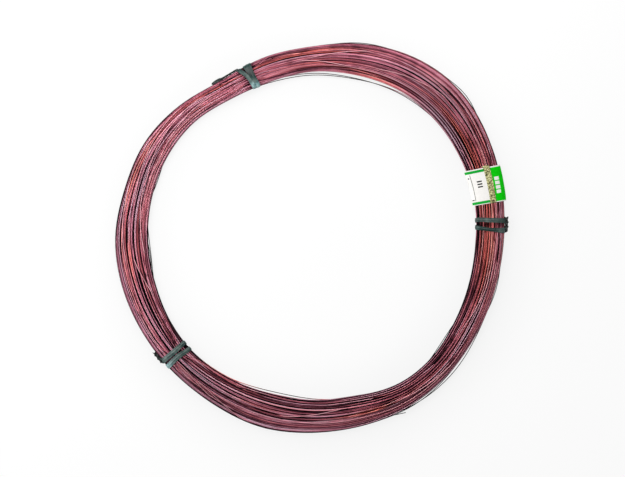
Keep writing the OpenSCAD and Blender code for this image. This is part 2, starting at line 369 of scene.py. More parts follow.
def lay_crossing(rng):
    """Bands of turns that lie on the hanks and go slowly across them."""
    rows = []
    for first, last, at, count in CROSSING:
        share = first + (last - first) * (0.5 - 0.5 * np.cos(np.radians(CLOCK - at)))
        for n in range(count):
            x = share * HALF + (n - (count - 1) / 2) * CROSSING_PITCH
            tone = CROSSING_TONE + CROSSING_SPREAD * rng.standard_normal()
            rows.append((x, roof_over(x) - WIRE_R, tone, HUE_SPREAD * rng.standard_normal()))
    return rows


def hank_places(rng, count):
    """Places of a hank's turns round its middle, in pitches, on a triangular lattice."""
    grid = np.array([(i + j / 2, j * math.sqrt(0.75)) for i in LATTICE for j in LATTICE])
    grid += rng.uniform(-LATTICE_SHIFT, LATTICE_SHIFT, 2)
    nearest = grid[np.argsort(np.hypot(*grid.T))[:count]]
    return nearest - nearest.mean(0)


def lay_core(rng, turns):
    """Hanks of turns in rows under the top ones, spread till they have room."""
    sizes = []
    while sum(sizes) < turns:
        sizes.append(min(CORE_SIZES[len(sizes) % len(CORE_SIZES)], turns - sum(sizes)))
    sizes, count = np.array(sizes), len(sizes)
    reach = CORE_PITCH * np.sqrt(sizes / CORE_FILL) / 2 * rng.uniform(*CORE_WIDTHS, count)
    row = np.arange(count) * len(CORE_ROWS) // count
    place = np.array([(row[:h] == row[h]).sum() + 0.5 for h in range(count)])
    share = place / np.bincount(row)[row]
    across = np.where(row % 2 == 0, 1 - 2 * share, 2 * share - 1)[:, None]
    lag = ACROSS_LAG * across + ROW_LAG * row[:, None]
    sway = slow_waves(rng, count, CORE_SWAY, lag) + slow_waves(rng, count, CORE_OWN_SWAY)
    rise = slow_waves(rng, count, CORE_RISE, RISE_LAG * lag)
    x = (CORE_SPAN * across + sway) * HALF
    z = LOW + (np.array(CORE_ROWS)[row][:, None] + rise) * HEIGHT
    room = reach[:, None] + reach[None, :]
    for _ in range(ROOM_ROUNDS):
        dx, dz = x[None] - x[:, None], z[None] - z[:, None]
        apart = np.hypot(dx, dz) + TINY
        short = np.maximum(room[:, :, None] - apart, 0) * 0.5 / apart
        x = x - round_coil((short * dx).sum(1), ROOM_SPREAD)
        z = z - round_coil((short * dz).sum(1), ROOM_SPREAD)
        x, z = hold_in(x, z, np.minimum(reach[:, None], CORE_EDGE * HEIGHT))
        z = np.minimum(z, LOW + CORE_TOP * HEIGHT)
    twist = slow_waves(rng, count, CORE_TWIST)
    rows = []
    for h, size in enumerate(sizes):
        worn = CORE_HANK_SPREAD * rng.standard_normal()
        for right, up in hank_places(rng, size) * CORE_PITCH:
            cos, sin = np.cos(twist[h]), np.sin(twist[h])
            tone = CORE_TONE + worn + CORE_TURN_SPREAD * rng.standard_normal()
            hue = CORE_HUE_SPREAD * rng.standard_normal()
            rows.append((x[h] + right * cos - up * sin, z[h] + right * sin + up * cos, tone, hue))
    return rows


# the latest share of its round at which a turn starts to move over to the next one's
# place; how turns wander aside and up: by how much, and over how many stations; and from
# where and over how many degrees the last turn comes out
MOVES_FROM = 0.35
WANDER_ASIDE, WANDER_UP = [(0.12, 12), (0.10, 30)], (0.10, 14)
LEAVES_FROM, LEAVES_OVER = 200, 70


def lay_turns(rng):
    """Where each turn lies in the section, outwards of the bundle's middle and up."""
    top, crossing = lay_top(rng), lay_crossing(rng)
    rows = lay_core(rng, TURNS - len(top) - len(crossing)) + crossing + top
    x, z, tone, hue = (np.array([row[n] + 0 * CLOCK for row in rows]) for n in range(4))
    # each turn moves over to the next one's place somewhere on its way round
    start = rng.uniform(0.0, MOVES_FROM, TURNS)[:, None]
    over = smoothstep((np.arange(STATIONS)[None, :] / STATIONS - start) / (1 - MOVES_FROM))
    x, z, tone, hue = (v + (np.append(v[1:], v[-1:], axis=0) - v) * over for v in (x, z, tone, hue))
    x += sum(wander(rng, *drift) for drift in WANDER_ASIDE)
    z += wander(rng, *WANDER_UP)
    # the last turn comes to the outer side, where it leaves
    leaving = smoothstep((CLOCK - LEAVES_FROM) / LEAVES_OVER)
    x[-1] += leaving * (HALF - WIRE_D - x[-1])
    z[-1] += leaving * (LOW + WAIST * HEIGHT - z[-1])
    return *hold_in(x, z, WIRE_R), tone, hue


# turns that stand clear of the bundle: clock positions from and to, side (1 is the
# outer one), how far out, and how high, as a share of the bundle's height
STRAYS = [
    (50, 112, -1, 3.6, 0.25),
    (40, 106, -1, 2.7, 0.35),
    (66, 86, 1, 0.8, 0.45),
    (36, 50, 1, 1.3, 0.45),
    (238, 282, -1, 2.0, 0.25),
    (311, 332, -1, 1.3, 0.30),
    (294, 336, 1, 2.6, 0.30),
    (289, 320, 1, 1.2, 0.50),
    (334, 354, 1, 1.1, 0.40),
    (173, 197, -1, 1.7, 0.30),
    (178, 194, -1, 1.0, 0.45),
    (151, 168, -1, 1.0, 0.35),
]
# how steeply they leave and come back, and how dark they are
STRAY_CURVE, STRAY_DARK = 1.5, 0.9
# the wire's loose end: where and at what angle it leaves the bundle, how far it stands
# out, how much of its straight stretch is still among the turns, how many degrees before
# it the last turn is cut, its points and its tone
LOOSE_END, LEAVE, LOOSE_L, ROOTED, CUT_BEFORE = 293.5, 11.5, 16.0, 6.0, 5
LOOSE_POINTS, LOOSE_TONE = 12, 0.05
# turns that cross on top of the others for a short way: clock position and share across
# where each comes up, and where it goes under again
ROVING = [
    (233, 0.28, 248, 0.90),
    (226, 0.20, 236, 0.62),
    (187, -0.08, 199, -0.66),
    (262, 0.10, 280, -0.35),
    (74, 0.55, 90, 0.10),
    (126, 0.10, 152, -0.62),
    (130, 0.42, 160, -0.30),
    (137, 0.70, 166, 0.12),
    (160, 0.80, 186, 0.42),
    (163, -0.25, 184, -0.72),
    (48, 0.15, 68, -0.32),
    (80, -0.50, 93, -0.05),
    (300, 0.15, 318, 0.60),
    (328, -0.25, 344, 0.30),
]
# over how many degrees they come up and get a painted highlight, and their hue
ROVE_EASE, ROVE_LIT, ROVE_HUE = 14, 6, 0.25


def let_rove(x, z):
    """Lifts the turn that is nearest over the others between each two places; gives where, as a
    painted highlight.
    """
    taken, painted_highlight = [], 0 * x
    for first, first_share, last, last_share in ROVING:
        low, high = sorted([(first, first_share), (last, last_share)])
        away = np.maximum(low[0] - CLOCK, CLOCK - high[0])
        weight = smoothstep(1 - away / ROVE_EASE)
        target = np.interp(CLOCK, [low[0], high[0]], [low[1], high[1]]) * HALF
        order = np.argsort((abs(x - target) * weight).sum(1))
        turn = next(t for t in order if t not in taken)
        taken += [turn - 1, turn, turn + 1]
        x[turn] += weight * (target - x[turn])
        z[turn] += weight * (roof_over(x)[turn] - WIRE_R + WIRE_D - z[turn])
        painted_highlight[turn] += smoothstep(1 - away / ROVE_LIT)
    return x, z, painted_highlight


def let_stray(x, z, tone):
    """Moves some of the turns at the bundle's sides clear of it over part of their way."""
    taken = []
    for first, last, side, out, rise in STRAYS:
        share = np.clip((CLOCK - first) / (last - first), 0, 1)
        swell = np.sin(np.pi * share) ** STRAY_CURVE
        order = np.argsort(-side * (x * swell).sum(1))
        turn = next(t for t in order if t not in taken)
        taken += [turn - 1, turn, turn + 1]
        x[turn] += side * swell * (HALF - WIRE_R + out - side * x[turn])
        z[turn] += swell * (LOW + rise * HEIGHT - z[turn])
        tone[turn] -= STRAY_DARK * swell
    return x, z, tone


# how the turns are parted: rounds, and stations over which a push is spread, first
# broadly and then finely; how near, in wires, pairs are that count, every how many rounds
# they are looked up, and how much stronger a push is than it need be
PARTING = [(40, 6), (16, 3)]
NEAR, LOOK_EVERY, PUSH = 1.6, 6, 1.4


def near_pairs(x, z, reach):
    """Station, first turn and second turn of all turns whose middles are that near."""
    found = []
    for k in range(STATIONS):
        order = np.argsort(x[:, k])
        xs, zs = x[order, k], z[order, k]
        ends = np.searchsorted(xs, xs + reach)
        for step in range(1, int((ends - np.arange(TURNS)).max())):
            first = np.nonzero(ends - np.arange(TURNS) > step)[0]
            first = first[abs(zs[first + step] - zs[first]) < reach]
            found.append((np.full(len(first), k), order[first], order[first + step]))
    return [np.concatenate(part) for part in zip(*found)]


def part_turns(x, z, rounds, spread):
    """Pushes turns apart until none overlap, each push shared out along the wire."""
    for n in range(rounds):
        if n % LOOK_EVERY == 0:
            k, i, j = near_pairs(x, z, WIRE_D * NEAR)
            at_i, at_j = i * STATIONS + k, j * STATIONS + k
        dx, dz = x[j, k] - x[i, k], z[j, k] - z[i, k]
        apart = np.hypot(dx, dz) + TINY
        short = np.maximum(WIRE_D - apart, 0) * 0.5 / apart
        size = TURNS * STATIONS
        move_x = np.bincount(at_j, short * dx, size) - np.bincount(at_i, short * dx, size)
        move_z = np.bincount(at_j, short * dz, size) - np.bincount(at_i, short * dz, size)
        x = x + PUSH * along_wire(move_x.reshape(x.shape), spread)
        z = z + PUSH * along_wire(move_z.reshape(z.shape), spread)
        x, z = hold_in(x, z, WIRE_R)
    return x, z


# the wire unrolled on its map, with a lane for each turn: how much of the lane it fills,
# the lane's edge, and how large the cut ends are in a lane
LANE_FILL, LANE_EDGE, CAP_SHARE = 0.94, 0.03, 0.2
WIRE_SIDES, WIRE_PIECES = 8, 4


def tube(name, path, radius, sides, marks):
    """A closed round tube along a path, with marks kept along it as attributes."""
    count = len(path)
    around = np.linspace(0, math.tau, sides, endpoint=False)
    ahead = np.gradient(path, axis=0)
    ahead /= np.linalg.norm(ahead, axis=1)[:, None]
    side = np.cross(ahead, (0, 0, 1.0))
    side /= np.linalg.norm(side, axis=1)[:, None]
    up = np.cross(side, ahead)
    ring = (side[:, None, :] * np.cos(around)[None, :, None]
            + up[:, None, :] * np.sin(around)[None, :, None]) * radius
    points = (path[:, None, :] + ring).reshape(-1, 3)
    row, column = np.arange(count - 1)[:, None], np.arange(sides)[None, :]
    a, b = row * sides + column, row * sides + (column + 1) % sides
    walls = np.stack([a, a + sides, b + sides, b], axis=-1).reshape(-1)
    caps = np.concatenate([np.arange(sides), np.arange(sides)[::-1] + (count - 1) * sides])
    starts = np.append(np.arange(0, len(walls), 4), [len(walls), len(walls) + sides])
    mesh = bpy.data.meshes.new(name)
    mesh.vertices.add(len(points))
    mesh.vertices.foreach_set("co", (points * MM).astype(np.float32).ravel())
    mesh.loops.add(len(walls) + len(caps))
    mesh.loops.foreach_set("vertex_index", np.append(walls, caps).astype(np.int32))
    mesh.polygons.add(len(starts))
    mesh.polygons.foreach_set("loop_start", starts.astype(np.int32))
    mesh.update(calc_edges=True)
    mesh.polygons.foreach_set("use_smooth", np.arange(len(starts)) < len(starts) - 2)
    for mark, values in marks.items():
        layer = mesh.attributes.new(mark, "FLOAT", "POINT")
        layer.data.foreach_set("value", np.repeat(values, sides).astype(np.float32))
    lanes = math.ceil((count - 1) / STATIONS)
    lane, station = row // STATIONS, row % STATIONS
    u = np.stack([station, station + 1, station + 1, station], -1) / STATIONS + 0 * a[:, :, None]
    across = (column[:, :, None] + np.array([0, 0, 1, 1])) / sides
    v = (lane[:, :, None] + across * LANE_FILL + LANE_EDGE) / lanes
    unrolled = np.stack([u, v], -1).reshape(-1, 2)
    cap = np.stack([np.cos(around), np.sin(around)], -1) * CAP_SHARE / lanes + 0.5 / lanes
    baked = mesh.uv_layers.new(name="OFBake")
    corners = np.concatenate([unrolled, cap, cap]).astype(np.float32)
    baked.data.foreach_set("uv", corners.ravel())
    mesh.validate()
    piece = bpy.data.objects.new(name, mesh)
    bpy.context.scene.collection.objects.link(piece)
    return piece


# how near beside and from how far above a turn covers another, and over how much more
# it comes to cover it fully
COVER_ASIDE, COVER_FROM, COVER_OVER = 0.8, 0.15, 0.4


def hidden(x, z):
    """How far each turn is covered by others, from above or from below, whichever is less."""
    covered = np.empty((2, TURNS, STATIONS))
    for k in range(STATIONS):
        beside = np.clip(1 - abs(x[:, k, None] - x[None, :, k]) / COVER_ASIDE, 0, 1)
        over = z[None, :, k] - z[:, k, None]
        for n, way in enumerate((1, -1)):
            past = (way * over - COVER_FROM) / COVER_OVER
            covered[n, :, k] = (beside * np.clip(past, 0, 1)).sum(1)
    return np.minimum(covered.min(0), 1)


# places where hue and tone change: the hue is the copper's own colour, the tone partly its
# own colour and partly painted light and shade that make parts of the coil brighter or
# darker: clock position, share across, reach in degrees and in shares, hue and tone
PATCHES = [
    (92, 0.6, 12, 0.14, 0.8, 0.02),
    (68, -0.80, 13, 0.28, 1.25, 0.10),
    (146, 0, 14, 0.7, 0.0, 0.08),
    (195, 0, 18, 0.8, 0.1, -0.20),
    (74, 0.1, 19, 0.8, 0.2, -0.14),
    (43, 0, 12, 0.8, 0.0, 0.01),
    (270, 0, 14, 0.8, 0.0, -0.04),
    (118, 0, 9, 0.8, 0.0, -0.09),
    (298, 0, 15, 0.8, 0.1, -0.11),
    (0, 0, 22, 1.2, 1.0, -0.04),
    (64, 0.0, 14, 0.8, -0.35, 0.03),
    (332, -0.50, 10, 0.12, 0.0, 0.18),
    (347, -0.30, 8, 0.12, 0.0, -0.18),
    (346, -0.85, 9, 0.15, 0.0, -0.18),
    (25, 0, 9, 1.0, 0.5, -0.12),
    (34, -0.36, 14, 0.14, 1.1, 0.06),
    (356, -0.2, 16, 0.12, 1.3, 0.00),
    (150, 0.35, 14, 0.08, 0.8, 0.02),
    (186, 0.12, 10, 0.12, 1.1, 0.08),
    (289, 0.18, 10, 0.16, 1.4, 0.14),
    (250, -0.1, 14, 0.10, 0.8, 0.00),
    (38, -0.74, 13, 0.14, -1.3, 0.28),
    (48, 0.70, 9, 0.16, 0.0, 0.14),
    (101, 0, 9, 0.8, 0.0, -0.04),
    (338, -0.55, 8, 0.14, 0.1, 0.12),
    (158, -0.68, 16, 0.22, 0.15, 0.14),
    (165, -0.15, 18, 0.15, -1.0, -0.04),
    (204, 0.85, 40, 0.17, -1.0, -0.22),
    (322, 0.65, 34, 0.35, -0.2, 0.30),
    (308, -0.25, 42, 0.33, 0.0, -0.23),
    (4, 0.65, 22, 0.30, -0.4, 0.20),
    (80, 0.90, 26, 0.16, 0.0, -0.18),
    (138, 0.50, 12, 0.25, 0.0, -0.11),
    (112, 0.72, 16, 0.16, 0.0, -0.25),
    (118, -0.65, 24, 0.22, 0.0, 0.36),
    (138, 0.10, 12, 0.10, 0.0, 0.25),
    (168, 0.50, 10, 0.10, 0.0, 0.28),
    (201, 0.27, 13, 0.09, 0.0, 0.28),
    (280, 0.32, 16, 0.12, 0.0, 0.26),
    (220, -0.45, 28, 0.28, 0.0, 0.13),
    (40, 0.20, 10, 0.16, 0.0, -0.14),
    (322, -0.92, 22, 0.18, 0.0, -0.18),
]
# how much of the turn's own hue a patch takes away
HUE_TAKEN = 0.5
# painted light: the side of the coil made brightest, and by how much; the side across
# from it gets as much painted shade
BRIGHT_SIDE, BRIGHTER = 125, 0.05
# where the turns are most alike, how much, in what tone and over how many degrees
CALM_CLOCK, CALM, CALM_TONE, CALM_REACH, CALM_FROM = 105, 0.42, 0.66, 55, 1.4
# painted shade as a dark line in each furrow and a painted highlight as a pale one outwards
# of it: their unit, their half widths and how far apart they are in it, and the pale one's share of
# the dark one's strength
LINE_UNIT, DARK_LINE, PALE_LINE, LINES_APART, PALE_SHARE = 0.42, 1.6, 1.7, 2.2, 0.3
# their strength, how much less it is on the bright side, and how they come and go
LINE_DARK, LINE_EASED, LINE_SEEN, LINE_FADE = 0.44, 0.10, 0.75, 0.6
# drifts of tone and hue along the wire: by how much, and over how many stations
TONE_DRIFTS, HUE_DRIFT = [(0.05, 30), (0.03, 6)], (0.40, 12)
# dull stretches of wire: how dark, over how many stations, how rare and how sharp
DULL_DARK, DULL_REACH, DULL_FROM, DULL_EDGE = 0.60, 18, 1.1, 0.3
# painted shade on turns that others cover, as far as they are covered
COVER_PAINTED_SHADE = 0.45
# darker turns at the outer side round one clock position and at the inner side across
# from it: how dark, from what share outwards, how sharp, and on what share of the turns
SIDE_CLOCK, SIDE_DARK, SIDE_FROM, SIDE_EDGE, SIDE_TURNS = 150, 0.38, 0.60, 0.35, 0.55
# the painted shade beside a tie: how dark, how soft in degrees, and how far in such steps
TIE_DARK, TIE_SOFT, TIE_REACH = 0.40, 1.3, 1.6


def painted_furrow_lines(rng, x):
    """Painted shade as dark lines that come and go in the furrows, with a painted highlight as a
    pale line beside each.
    """
    lines = 0 * x
    strength = LINE_DARK - LINE_EASED * np.cos(np.radians(CLOCK - BRIGHT_SIDE))
    for k, fade in zip(range(1, HANKS), slow_waves(rng, HANKS - 1, 1.0)):
        off = x / LINE_UNIT - furrow_place(k) * HALF / LINE_UNIT
        dark = smoothstep(DARK_LINE - abs(off))
        pale = smoothstep(PALE_LINE - abs(off - LINES_APART))
        lines += smoothstep(LINE_SEEN + LINE_FADE * fade) * (dark - PALE_SHARE * pale)
    return strength * lines


def colour_turns(rng, x, z, tone, hue):
    """Each turn's tone and hue along it, with painted shade where turns are covered by others."""
    for drift in TONE_DRIFTS:
        tone = tone + wander(rng, *drift)
    tone -= DULL_DARK * smoothstep((wander(rng, 1, DULL_REACH) - DULL_FROM) / DULL_EDGE)
    # painted shade where other turns cover a turn, and painted shade and highlight along the
    # furrows
    tone -= COVER_PAINTED_SHADE * hidden(x, z) + painted_furrow_lines(rng, x)
    # painted light on the coil's side towards the lamps, painted shade on the side across
    tone += BRIGHTER * np.cos(np.radians(CLOCK - BRIGHT_SIDE))
    calm = CALM * smoothstep(CALM_FROM - abs(CLOCK - CALM_CLOCK) / CALM_REACH)
    tone += calm * (CALM_TONE - tone)
    # darker at the bundle's side that faces SIDE_CLOCK, on some of the turns
    side = np.cos(np.radians(CLOCK - SIDE_CLOCK)) * x / HALF
    worn = (rng.random(TURNS) < SIDE_TURNS)[:, None]
    tone -= SIDE_DARK * smoothstep((side - SIDE_FROM) / SIDE_EDGE) * worn
    # painted shade that the tie's strips lay on the turns beside and between them
    for clock, *_ in TIES.values():
        tone = tone - TIE_DARK * smoothstep(TIE_REACH - abs(clock_off(clock)) / TIE_SOFT)
    hue = hue + wander(rng, *HUE_DRIFT)
    # the copper's own hue, and tone that is partly its colour and partly painted light and shade
    for clock, share, reach, width, patch_hue, patch_tone in PATCHES:
        aside = (x / HALF - share) / width
        weight = np.exp(-(clock_off(clock) / reach) ** 2 - aside ** 2)
        hue += weight * (patch_hue - HUE_TAKEN * hue)
        tone += weight * patch_tone
    return np.clip(tone, 0, 1), np.clip(hue, -1, 1)


def loose_end():
    """The points of the wire's last, straight stretch."""
    root = skin(LOOSE_END, 1, WAIST, -WIRE_D, 0)
    angle = math.radians(LOOSE_END + 90 - LEAVE)
    ahead = np.array([math.cos(angle), math.sin(angle), 0])
    return root + ahead * np.linspace(-ROOTED, LOOSE_L, LOOSE_POINTS)[:, None]


def make_wire():
    """The whole wire, cut into pieces of as many turns each."""
    rng = np.random.default_rng(SEED)
    x, z, tone, hue = lay_turns(rng)
    for rounds, spread in PARTING:
        x, z = part_turns(x, z, rounds, spread)
    x, z, painted_highlight = let_rove(x, z)
    x, z, tone = let_stray(x, z, tone)
    tone, hue = colour_turns(rng, x, z, tone, hue)
    # a painted highlight and a hue on the turns that rove on top
    tone, hue = np.maximum(tone, painted_highlight).ravel(), (hue + painted_highlight * (ROVE_HUE - hue)).ravel()
    points = on_ring(CLOCK, MIDDLE + x, z).reshape(-1, 3)
    # the last turn is cut where the loose end leaves
    kept = (TURNS - 1) * STATIONS + int((LOOSE_END - CUT_BEFORE) / 360 * STATIONS)
    end = loose_end()
    points = np.concatenate([points[:kept], end])
    tone = np.append(tone[:kept], np.full(len(end), LOOSE_TONE))
    hue = np.append(hue[:kept], np.zeros(len(end)))
    material = copper_material()
    turns = TURNS // WIRE_PIECES
    for n in range(WIRE_PIECES):
        first = n * turns * STATIONS
        last = len(points) if n == WIRE_PIECES - 1 else first + turns * STATIONS + 1
        marks = {"tone": tone[first:last], "hue": hue[first:last]}
        piece = tube(f"wire_turns_{n + 1}", points[first:last], WIRE_R, WIRE_SIDES, marks)
        piece.data.materials.append(material)
        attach(piece, "root")
        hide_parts("wire_coil")


# ------------------------------------------------------------------------- materials


def new_material(name):
    """A new material, its node tree and its shader."""
    material = bpy.data.materials.new(name)
    material.use_nodes = True
    tree = material.node_tree
    return material, tree, tree.nodes["Principled BSDF"]


def feed(tree, socket, value):
    """Gives a socket a number, a colour or what another socket puts out."""
    if isinstance(value, tuple):
        socket.default_value = (*value, 1)
    elif isinstance(value, (int, float)):
        socket.default_value = value
    else:
        tree.links.new(value, socket)


def add_node(tree, kind, sockets=(), **settings):
    """A node with settings, and what goes into its sockets; gives what it puts out."""
    node = tree.nodes.new(kind)
    for name, value in settings.items():
        setattr(node, name, value)
    for place, value in dict(sockets).items():
        feed(tree, node.inputs[place], value)
    return node.outputs


def add_attribute(tree, name):
    """What a piece keeps at its points under a name."""
    return add_node(tree, "ShaderNodeAttribute", attribute_name=name)["Fac"]


def add_ramp(tree, source, stops):
    """Colours along a value, at stops of position and colour."""
    ramp = tree.nodes.new("ShaderNodeValToRGB")
    elements = ramp.color_ramp.elements
    elements.remove(elements[1])
    for n, (position, colour) in enumerate(stops):
        stop = elements[0] if n == 0 else elements.new(position)
        stop.position, stop.color = position, (*colour, 1)
    feed(tree, ramp.inputs["Fac"], source)
    return ramp.outputs["Color"]


def add_math(tree, operation, first, second, clamp=False):
    """Two values put together by an operation."""
    sockets = {0: first, 1: second}
    return add_node(tree, "ShaderNodeMath", sockets, operation=operation, use_clamp=clamp)[0]


def add_spread(tree, value, low, high, from_low=0.35, from_high=0.65):
    """Maps a value, such as a grain's, to between two others."""
    sockets = {"Value": value, "To Min": low, "To Max": high}
    sockets.update({"From Min": from_low, "From Max": from_high})
    return add_node(tree, "ShaderNodeMapRange", sockets)["Result"]


def add_bump(tree, height, shader, strength, distance):
    """Fine relief on a shader, `distance` high in metres."""
    sockets = {"Height": height, "Strength": strength, "Distance": distance}
    feed(tree, shader.inputs["Normal"], add_node(tree, "ShaderNodeBump", sockets)["Normal"])


def add_blend(tree, share, first, second, kind="MIX"):
    """Two colours mixed, each given as a colour or as a socket."""
    sockets = {0: share, 6: first, 7: second}
    return add_node(tree, "ShaderNodeMix", sockets, data_type="RGBA", blend_type=kind)[2]


GRAIN_INPUTS = "Place", "Scale", "Detail", "Low", "High"
BAND_INPUTS = "Value", "From", "To", "Edge"


def new_group(name, inputs, outputs):
    """A node group with named inputs and outputs, and what its inputs give."""
    tree = bpy.data.node_groups.new(name, "ShaderNodeTree")
    for way, sockets in (("INPUT", inputs), ("OUTPUT", outputs)):
        for socket in sockets:
            kind = "NodeSocketVector" if socket == "Place" else "NodeSocketFloat"
            tree.interface.new_socket(name=socket, in_out=way, socket_type=kind)
    return tree, add_node(tree, "NodeGroupInput")


def grain_group():
    """A group with an uneven grain, and with the same grain between two values."""
    tree, given = new_group("uneven_grain", GRAIN_INPUTS, ("Grain", "Spread"))
    sockets = {"Vector": given["Place"], "Scale": given["Scale"], "Detail": given["Detail"]}
    grain = add_node(tree, "ShaderNodeTexNoise", sockets)["Fac"]
    spread = add_spread(tree, grain, given["Low"], given["High"])
    add_node(tree, "NodeGroupOutput", {"Grain": grain, "Spread": spread})
    return tree


GRAIN = grain_group()


def add_grain(tree, scale, detail, low=0, high=1):
    """The grain over the piece's own place, `scale` to the metre, by the group."""
    place = add_node(tree, "ShaderNodeTexCoord")["Object"]
    sockets = dict(zip(GRAIN_INPUTS, (place, scale, detail, low, high)))
    return add_node(tree, "ShaderNodeGroup", sockets, node_tree=GRAIN)


def copper_material():
    """Drawn copper with its own tarnish, and the painted light and shade in each turn's tone:
    brighter on the turns that lie open, darker between them.
    """
    material, tree, shader = new_material("tarnished_copper")
    shader.inputs["Metallic"].default_value = 0.85
    shader.inputs["Specular IOR Level"].default_value = 0.1
    patchy = add_grain(tree, 90, 3, -0.06, 0.06)["Spread"]
    toned = add_math(tree, "ADD", add_attribute(tree, "tone"), patchy, True)
    colour = add_ramp(tree, toned, [
        (0.06, (0.004, 0.002, 0.003)),
        (0.30, (0.11, 0.032, 0.042)),
        (0.50, (0.46, 0.135, 0.165)),
        (0.72, (0.86, 0.31, 0.35)),
        (1.00, (1.00, 0.58, 0.60)),
    ])
    hued = add_spread(tree, add_attribute(tree, "hue"), 0, 1, -1, 1)
    tint = add_ramp(tree, hued, [
        (0.0, (0.70, 0.84, 1.00)),
        (0.5, (0.83, 0.81, 0.95)),
        (1.0, (1.00, 0.66, 0.50)),
    ])
    feed(tree, shader.inputs["Base Color"], add_blend(tree, 1.0, colour, tint, "MULTIPLY"))
    grain = add_grain(tree, 900, 3, 0.28, 0.42)
    feed(tree, shader.inputs["Roughness"], grain["Spread"])
    add_bump(tree, grain["Grain"], shader, 0.12, 0.00001)
    return material


# ------------------------------------------------------- strips laid round the bundle

# a tie's strip; how far a strip lies off the bundle, and its passes off each other; rows
# in a pass round the bundle
TIE_W, TIE_T = 4.0, 0.9
WRAP_GAP, LAYER_GAP, TURN_STEPS = 0.3, 0.1, 56
# points on the section's arch and on each rounded lower side, and how many times as wide
# as high its halves are
ARCH_POINTS, SIDE_POINTS, WIDER = 200, 60, 2


def skin(clock, share_x, share_z, out, over):
    """Points on the bundle's skin, `out` sideways and `over` up or down away from it."""
    r = at_clock(MIDDLE, clock) + share_x * (at_clock(HALF, clock) + out)
    z = at_clock(LOW, clock) - over + share_z * (at_clock(HEIGHT, clock) + 2 * over)
    return on_ring(clock, r, z)


def section_shares(count):
    """The bundle's outline from its outer side over the top, down and back underneath."""
    arch = np.radians(np.linspace(0, 180, ARCH_POINTS))
    side = np.radians(np.linspace(0, 90, SIDE_POINTS))
    flank_x, flank_z = FLAT + (1 - FLAT) * np.cos(side), WAIST * (1 - np.sin(side))
    x = np.concatenate([np.cos(arch), -flank_x[1:], flank_x[::-1]])
    z = np.concatenate([WAIST + (1 - WAIST) * np.sin(arch), flank_z[1:], flank_z[::-1]])
    length = np.append(0, np.cumsum(np.hypot(np.diff(x) * WIDER, np.diff(z))))
    even = np.linspace(0, length[-1], count)
    return np.interp(even, length, x), np.interp(even, length, z)


# edges flatter than this, in degrees, are shaded smooth
CREASE = 50


def lay_strip(name, points, thickness, rounds, shade=None):
    """A strip laid over rows of points, as thick as given across it, rounded so often."""
    rows, across = points.shape[:2]
    deselect()
    bpy.ops.mesh.primitive_grid_add(x_subdivisions=across - 1, y_subdivisions=rows - 1, size=1)
    strip = bpy.context.object
    strip.name = strip.data.name = name
    strip.data.vertices.foreach_set("co", (points * MM).astype(np.float32).ravel())
    # the shade mark: painted shade and highlight for the tie's material
    if shade is not None:
        layer = strip.data.attributes.new("shade", "FLOAT", "POINT")
        layer.data.foreach_set("value", np.repeat(shade, across).astype(np.float32))
    group = strip.vertex_groups.new(name="thickness")
    shares = thickness / thickness.max()
    for column in range(across):
        group.add(list(range(column, rows * across, across)), float(shares[column]), "REPLACE")
    wall = strip.modifiers.new("wall", "SOLIDIFY")
    wall.thickness, wall.offset = float(thickness.max()) * MM, 0
    wall.vertex_group = "thickness"
    wall.use_even_offset = False
    bpy.ops.object.modifier_apply(modifier=wall.name)
    if rounds:
        smooth = strip.modifiers.new("smooth", "SUBSURF")
        smooth.levels = smooth.render_levels = rounds
        bpy.ops.object.modifier_apply(modifier=smooth.name)
    strip.vertex_groups.clear()
    bpy.ops.object.shade_smooth_by_angle(angle=math.radians(CREASE))
    return strip


# each tie: its clock position, the length of its twisted ends, which way they lie and
# how far beside the bundle; then at each quarter turn, from the outer side over the top,
# its place along the bundle, its width as a share and its painted shade, which is a painted
# highlight where it is highest
TIES = {
    "tie_upper_left": (111.4, 27, 1, 1.0, [
        (7, 1.1, 0.15), (1.0, 0.95, 0.5), (-1.6, 1, 1.15), (-1.8, 1, 0.5), (-1.7, 1.9, 0.30),
        (-3.3, 1.35, 0.14), (-5.6, 1, 1.3), (0.5, 1, 0.5), (7, 1, 0.1)]),
    "tie_right": (4.3, 12, 1, 1.5, [
        (-6, 1.3, 0.8), (-4.6, 0.9, 0.22), (-1.5, 1.1, 0.3), (0.4, 1, 0.4), (2.5, 1.1, 0.4),
        (4.4, 1.1, 0.55), (6, 1.1, 0.35), (0, 1, 0.5), (-6, 1, 0.1)]),
    "tie_lower_left": (220.6, 11, -1, 0.9, [
        (-3.5, 1.2, 0.6), (-3.6, 1.25, 0.6), (-4, 1.1, 0.35), (-0.4, 1, 0.5), (3, 1.1, 1),
        (2.4, 1.25, 0.6), (4, 1.1, 0.35), (0.2, 1, 0.5), (-3.5, 1, 0.3)]),
}
# over how many millimetres the second pass steps up on the first where they meet
STEP_UP = 1.5
# places across the strip, in half widths, and its thickness there, with its core wire
RIB = np.array([-1, -0.9, -0.55, -0.3, -0.14, 0, 0.14, 0.3, 0.55, 0.9, 1])
RIB_T = np.array([0.55, 0.75, 0.75, 0.8, 1.7, 2.0, 1.7, 0.8, 0.75, 0.75, 0.55]) * TIE_T / 2
# the twisted ends: the twist's radius and pitch, the strip's width in it, how far off the
# bundle they start, the step between their rows and their painted shade
TWIST_R, TWIST_PITCH, TWIST_W = 0.75, 8.0, 2.6
TWIST_ROOT, TWIST_STEP, TWIST_SHADE = 0.6, 0.7, 0.03
# past how many millimetres an end has a tip, how much of the twist goes on there, and
# over how many the tip starts and ends
TIP_FROM, TIP_TWIST, TIP_EDGE = 16.0, 0.08, 4
# how thick a short end is; a long one, what its tip adds and how much its end tapers
SHORT_THICK, LONG_THICK, TIP_THICK, TIP_TAPER = 1.6, 0.7, 0.6, 0.8


